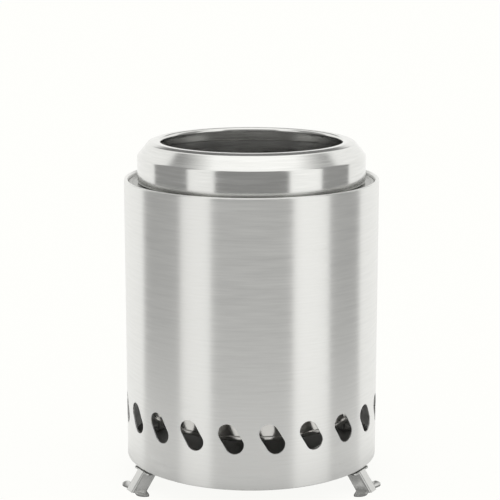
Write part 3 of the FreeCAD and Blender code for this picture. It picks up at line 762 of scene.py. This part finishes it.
class FIREPIT_OT_pan_and_grate(bpy.types.Operator):
    """Make the ash pan and the punched fuel grate"""
    bl_idname = "firepit.pan_and_grate"
    bl_label = "Pan and Grate"

    def execute(self, context):
        s, n = context.scene.firepit_outer, context.scene.firepit_inner
        floor = s.bottom + n.floor_height + n.floor_wall
        pan = turned_sheet("Ash_Pan", [
            (0, 0),
            (n.pan_radius, 0, n.sheet_bend),
            (n.pan_radius, n.pan_height),
        ], n.pan_wall, 1, floor)
        soften(pan, SHEET_EDGE)
        dress(pan, "Plate Steel", "pan", "ash_pan")

        top = n.pan_height + n.grate_wall
        grate = turned_sheet("Fuel_Grate", [
            (0, top),
            (n.grate_radius, top, n.seam_bend),
            (n.grate_radius, n.pan_height - n.grate_skirt),
        ], n.grate_wall, -1, floor)
        pitch = (n.grate_radius - n.grate_border) / n.grate_rings
        # One hole in the middle, and six more in each ring than in the one inside it
        rings = [(0.0, 1, 0.0)] + [(ring * pitch, 6 * ring, 0.0) for ring in range(1, n.grate_rings + 1)]
        combine(grate, holes(rings, floor + top, n.grate_hole, True), "DIFFERENCE")
        soften(grate, GRATE_EDGE)
        dress(grate, "Grate Steel", "grate", "fuel_grate")
        return {"FINISHED"}


class FIREPIT_OT_stand(bpy.types.Operator):
    """Make the stand's ring, its three legs and their rivets"""
    bl_idname = "firepit.stand"
    bl_label = "Stand"

    def plate(self, name, width, depth, height, wall, rounds):
        """A flat plate about the world's middle. Rounds are (corner's x sign, y sign, radius)."""
        deselect()
        bpy.ops.mesh.primitive_plane_add(size=1.0)
        piece = bpy.context.object
        piece.name = name
        edit_all()
        bpy.ops.transform.resize(value=(width, depth, 1.0))
        bpy.ops.mesh.select_mode(type="VERT")
        for across, along, radius in rounds:
            bpy.ops.mesh.select_all(action="DESELECT")
            bpy.ops.object.mode_set(mode="OBJECT")
            corner = Vector((across * width / 2, along * depth / 2, 0))
            near = min(piece.data.vertices, key=lambda vertex: (vertex.co - corner).length)
            near.select = True
            bpy.ops.object.mode_set(mode="EDIT")
            bpy.ops.mesh.bevel(offset=radius, segments=ROUND_STEPS, affect="VERTICES")
        bpy.ops.mesh.select_all(action="SELECT")
        bpy.ops.mesh.extrude_region_move(TRANSFORM_OT_translate={"value": (0, 0, wall)})
        bpy.ops.mesh.select_all(action="SELECT")
        bpy.ops.transform.translate(value=(0, 0, height))
        bpy.ops.mesh.normals_make_consistent(inside=False)
        return piece

    def leg(self, name, turn, node):
        """A bent channel that leans inwards, with a foot on each flange and a riveted tab on top."""
        s, d = bpy.context.scene.firepit_outer, bpy.context.scene.firepit_stand
        top = s.bottom - d.wall
        reach = s.radius + d.overhang
        out = d.web / 2 + d.flange * math.sin(d.flare)
        inner = d.flange * math.cos(d.flare) - reach
        line = section_points([(-out, inner), (-d.web / 2, -reach, d.bend), (d.web / 2, -reach, d.bend),
                               (out, inner)], d.leg_wall, 1)
        piece = draw_line(name, [Vector((point.x, point.y, 0)) for point in line])
        bpy.ops.mesh.select_all(action="SELECT")
        bpy.ops.mesh.extrude_region_move(
            TRANSFORM_OT_translate={"value": (0, top * math.tan(d.lean), top)})
        bpy.ops.object.mode_set(mode="OBJECT")
        web = min(piece.data.polygons, key=lambda face: face.center.y + abs(face.center.x))
        bpy.ops.object.mode_set(mode="EDIT")
        if web.normal.y > 0:
            bpy.ops.mesh.select_all(action="SELECT")
            bpy.ops.mesh.flip_normals()
        bpy.ops.object.mode_set(mode="OBJECT")
        # Level sections have the sheet's full thickness, so square to itself the leaning wall is thinner.
        apply(piece, "SOLIDIFY", thickness=d.leg_wall * math.cos(d.lean), offset=-1.0,
              use_even_offset=True, use_quality_normals=True)
        pick(piece)
        edit_all()
        bpy.ops.mesh.bisect(plane_co=(0, 0, 0), plane_no=(0, 0, 1), clear_inner=True, use_fill=True)
        bpy.ops.mesh.select_all(action="SELECT")
        bpy.ops.mesh.bisect(plane_co=(0, 0, top), plane_no=(0, 0, 1), clear_outer=True, use_fill=True)
        bpy.ops.object.mode_set(mode="OBJECT")

        root = d.bend + d.leg_wall
        width, depth = d.foot + d.leg_wall, d.flange - root
        outward = Vector((math.cos(d.flare), -math.sin(d.flare), 0))
        inward = Vector((math.sin(d.flare), math.cos(d.flare), 0))
        foot = self.plate("foot", width, depth, 0, d.leg_wall, [(1, -1, d.toe), (1, 1, d.heel)])
        turn_selected(-d.flare, "Z")
        bpy.ops.transform.translate(value=Vector((d.web / 2, -reach, 0)) + inward * (root + depth / 2)
                                    + outward * (d.foot - width / 2))
        bpy.ops.object.mode_set(mode="OBJECT")
        apply(foot, "MIRROR", use_axis=(True, False, False))
        combine(piece, foot, "UNION")

        tab_out = reach - top * math.tan(d.lean)
        tab = self.plate("tab", d.tab_width, d.tab_length, top - d.leg_wall, d.leg_wall,
                         [(x, y, d.tab_round) for x in (-1, 1) for y in (-1, 1)])
        bpy.ops.transform.translate(value=(0, -(tab_out - d.tab_length / 2), 0))
        bpy.ops.object.mode_set(mode="OBJECT")
        combine(piece, tab, "UNION")
        soften(piece, STAND_EDGE)
        pick(piece)
        edit_all()
        turn_selected(turn, "Z")
        bpy.ops.object.mode_set(mode="OBJECT")
        dress(piece, "Stand Steel", "stand", node)

    def execute(self, context):
        s, d, n = context.scene.firepit_outer, context.scene.firepit_stand, context.scene.firepit_inner
        lip = s.radius - n.recess_inset - d.lip_gap
        ring = turned_sheet("Stand_Ring", [
            (lip, d.lip_height),
            (lip, 0, d.bend),
            (s.radius - d.ring_inset, 0),
        ], d.wall, -1, s.bottom)
        soften(ring, STAND_EDGE)
        dress(ring, "Stand Steel", "stand", "stand_ring")

        for side, degrees in LEG_ANGLES.items():
            self.leg(f"Leg_{side}", math.radians(degrees), f"stand_leg_{side.lower()}")

        top = s.bottom - d.wall
        along = s.radius + d.overhang - top * math.tan(d.lean) - d.tab_length + d.rivet_inset
        deselect()
        bpy.ops.mesh.primitive_cone_add(vertices=HOLE_SIDES, radius1=d.rivet_head - d.rivet_head_height / 2,
                                        radius2=d.rivet_head, depth=d.rivet_head_height)
        rivets = context.object
        rivets.name = "Stand_Rivets"
        bpy.ops.object.mode_set(mode="EDIT")
        bpy.ops.mesh.select_mode(type="FACE")
        bpy.ops.mesh.select_all(action="DESELECT")
        bpy.ops.object.mode_set(mode="OBJECT")
        max(rivets.data.polygons, key=lambda face: face.center.z).select = True
        bpy.ops.object.mode_set(mode="EDIT")
        bpy.ops.mesh.inset(thickness=d.rivet_head - d.rivet)
        bpy.ops.mesh.extrude_region_move(
            TRANSFORM_OT_translate={"value": (0, 0, d.leg_wall + d.wall - n.seam_gap)})
        bpy.ops.mesh.select_all(action="SELECT")
        bpy.ops.transform.translate(
            value=(d.rivet_spacing / 2, -along, top - d.leg_wall - d.rivet_head_height / 2))
        repeat_round(len(LEG_ANGLES))
        bpy.ops.object.mode_set(mode="OBJECT")
        apply(rivets, "MIRROR", use_axis=(True, False, False))
        pick(rivets)
        edit_all()
        turn_selected(math.pi, "Z")
        bpy.ops.object.mode_set(mode="OBJECT")
        soften(rivets, RIVET_EDGE)
        dress(rivets, "Stand Steel", "stand", "stand_rivets")
        return {"FINISHED"}


class FIREPIT_OT_stage(bpy.types.Operator):
    """Make the pale table, the studio round it and the camera"""
    bl_idname = "firepit.stage"
    bl_label = "Stage"

    def ramp(self, tree, value, start, stop):
        """A smooth ramp that is 0 up to start and 1 from stop on."""
        node = tree.nodes.new("ShaderNodeMapRange")
        node.interpolation_type = "SMOOTHSTEP"
        for name, number in (("From Min", start), ("From Max", stop), ("To Min", 0.0), ("To Max", 1.0)):
            node.inputs[name].default_value = number
        tree.links.new(value, node.inputs["Value"])
        return node.outputs["Result"]

    def surroundings(self, studio):
        """A white world, in which the steel mirrors the panels."""
        world = bpy.data.worlds.new("Studio")
        bpy.context.scene.world = world
        world.use_nodes = True
        tree = world.node_tree
        tree.nodes.clear()
        place = tree.nodes.new("ShaderNodeTexCoord")
        split = tree.nodes.new("ShaderNodeSeparateXYZ")
        tree.links.new(place.outputs["Generated"], split.inputs[0])
        x, y, z = split.outputs
        azimuth = calculate(tree, "DEGREES",
                            calculate(tree, "ARCTAN2", x, calculate(tree, "MULTIPLY", y, -1.0)))
        elevation = calculate(tree, "DEGREES", calculate(tree, "ARCSINE", z))
        mirrored = calculate(tree, "MULTIPLY_ADD", self.ramp(tree, elevation, *OVERHEAD), OVERHEAD_GAIN,
                             studio.bright)
        for middle, half, low, high, fade, shade in PANELS:
            wide = calculate(tree, "ABSOLUTE", calculate(tree, "SUBTRACT", azimuth, middle))
            wide = calculate(tree, "MINIMUM", wide, calculate(tree, "SUBTRACT", 360.0, wide))
            outside = calculate(tree, "MAXIMUM",
                                self.ramp(tree, wide, half - PANEL_SIDE_FADE, half + PANEL_SIDE_FADE),
                                self.ramp(tree, elevation, high - fade, high + fade))
            above = self.ramp(tree, elevation, low - PANEL_FOOT_FADE, low + PANEL_FOOT_FADE)
            share = calculate(tree, "MULTIPLY", calculate(tree, "SUBTRACT", 1.0, outside), above)
            step = calculate(tree, "MULTIPLY", share, calculate(tree, "SUBTRACT", shade, mirrored))
            mirrored = calculate(tree, "ADD", mirrored, step)
        light = tree.nodes.new("ShaderNodeLightPath")
        level_used = tree.nodes.new("ShaderNodeMix")
        level_used.data_type = "FLOAT"
        tree.links.new(light.outputs["Is Glossy Ray"], level_used.inputs["Factor"])
        level_used.inputs["A"].default_value = 1.0
        tree.links.new(mirrored, level_used.inputs["B"])
        back = tree.nodes.new("ShaderNodeBackground")
        back.inputs["Color"].default_value = PALE
        tree.links.new(level_used.outputs["Result"], back.inputs["Strength"])
        out = tree.nodes.new("ShaderNodeOutputWorld")
        tree.links.new(back.outputs[0], out.inputs["Surface"])

    def table(self):
        """A pale table that the steel doesn't mirror."""
        deselect()
        bpy.ops.mesh.primitive_plane_add(size=TABLE_SIZE)
        table = bpy.context.object
        table.name = "Table"
        table.visible_glossy = False
        material = bpy.data.materials.new("Table White")
        material.use_nodes = True
        tree = material.node_tree
        tree.nodes.clear()
        matt = tree.nodes.new("ShaderNodeBsdfDiffuse")
        matt.inputs["Color"].default_value = TABLE_COLOUR
        glow = tree.nodes.new("ShaderNodeEmission")
        glow.inputs["Color"].default_value = PALE
        mix = tree.nodes.new("ShaderNodeMixShader")
        mix.inputs[0].default_value = TABLE_GLOW
        tree.links.new(matt.outputs[0], mix.inputs[1])
        tree.links.new(glow.outputs[0], mix.inputs[2])
        out = tree.nodes.new("ShaderNodeOutputMaterial")
        tree.links.new(mix.outputs[0], out.inputs["Surface"])
        table.data.materials.append(material)

    def mirrored_table(self):
        """The near table as the steel mirrors it: a painted shadow under the pit, pale round it, then gone.
        """
        deselect()
        bpy.ops.mesh.primitive_circle_add(vertices=96, radius=MIRRORED_RADIUS, fill_type="NGON",
                                          location=(AXIS.x, AXIS.y, -MIRRORED_DEPTH))
        card = bpy.context.object
        card.name = "Mirrored_Table"
        for ray in ("camera", "diffuse", "transmission", "volume_scatter", "shadow"):
            setattr(card, f"visible_{ray}", False)
        material = bpy.data.materials.new("Mirrored White With Painted Shadow")
        material.use_nodes = True
        tree = material.node_tree
        tree.nodes.clear()
        place = tree.nodes.new("ShaderNodeTexCoord")
        reach = tree.nodes.new("ShaderNodeVectorMath")
        reach.operation = "LENGTH"
        tree.links.new(place.outputs["Object"], reach.inputs[0])
        glow = tree.nodes.new("ShaderNodeEmission")
        glow.inputs["Color"].default_value = PALE
        # The dark level under the pit is a painted shadow, which ends at these radii.
        past_shadow = self.ramp(tree, reach.outputs["Value"], *MIRRORED_SHADOW_EDGE)
        tree.links.new(calculate(tree, "MULTIPLY_ADD", past_shadow, MIRRORED_GAIN, MIRRORED_SHADOW),
                       glow.inputs["Strength"])
        clear = tree.nodes.new("ShaderNodeBsdfTransparent")
        mix = tree.nodes.new("ShaderNodeMixShader")
        tree.links.new(self.ramp(tree, reach.outputs["Value"], *MIRRORED_FADE), mix.inputs[0])
        tree.links.new(glow.outputs[0], mix.inputs[1])
        tree.links.new(clear.outputs[0], mix.inputs[2])
        out = tree.nodes.new("ShaderNodeOutputMaterial")
        tree.links.new(mix.outputs[0], out.inputs["Surface"])
        card.data.materials.append(material)

    def execute(self, context):
        studio = context.scene.firepit_studio
        self.surroundings(studio)
        self.table()
        self.mirrored_table()
        deselect()
        bpy.ops.object.camera_add(
            location=(AXIS.x - CAMERA_SIDE, AXIS.y - studio.camera_distance, studio.camera_height),
            rotation=(math.pi / 2 - studio.camera_pitch, 0, 0))
        camera = context.object
        camera.name = "Photo_Camera"
        camera.data.sensor_width = CAMERA_SENSOR
        camera.data.lens = studio.lens
        context.scene.camera = camera
        context.scene.view_settings.view_transform = "Standard"
        return {"FINISHED"}


class FIREPIT_PT_panel(bpy.types.Panel):
    """Sizes, finishes and pieces of the fire pit"""
    bl_idname = "FIREPIT_PT_panel"
    bl_label = "Fire Pit"
    bl_space_type = "VIEW_3D"
    bl_region_type = "UI"
    bl_category = "Fire Pit"

    def draw(self, context):
        for name, (title, kind) in GROUPS.items():
            box = self.layout.box()
            box.label(text=title)
            for size in kind.__annotations__:
                box.prop(getattr(context.scene, name), size)
        for step in STEPS:
            self.layout.operator(f"firepit.{step}")


# Each group of settings, with its title in the sidebar
GROUPS = {
    "firepit_outer": ("Shell", OuterSizes),
    "firepit_ring": ("Flame Ring", RingSizes),
    "firepit_inner": ("Inside", InnerSizes),
    "firepit_stand": ("Stand", StandSizes),
    "firepit_finish": ("Finish", Finish),
    "firepit_studio": ("Studio", Studio),
}
CLASSES = (
    *(kind for title, kind in GROUPS.values()),
    FIREPIT_OT_finishes,
    FIREPIT_OT_shell,
    FIREPIT_OT_ledge,
    FIREPIT_OT_flame_ring,
    FIREPIT_OT_chamber,
    FIREPIT_OT_bottom,
    FIREPIT_OT_pan_and_grate,
    FIREPIT_OT_stand,
    FIREPIT_OT_stage,
    FIREPIT_PT_panel,
)
# The operators in the order in which they run
STEPS = ("finishes", "shell", "ledge", "flame_ring", "chamber", "bottom", "pan_and_grate", "stand", "stage")


def register():
    for item in CLASSES:
        bpy.utils.register_class(item)
    for name, (title, kind) in GROUPS.items():
        setattr(bpy.types.Scene, name, PointerProperty(type=kind))


def unregister():
    for name in GROUPS:
        delattr(bpy.types.Scene, name)
    for item in reversed(CLASSES):
        bpy.utils.unregister_class(item)


def main():
    """Make the whole scene."""
    register()
    for name in STEPS:
        getattr(bpy.ops.firepit, name)()


if __name__ == "__main__":
    main()
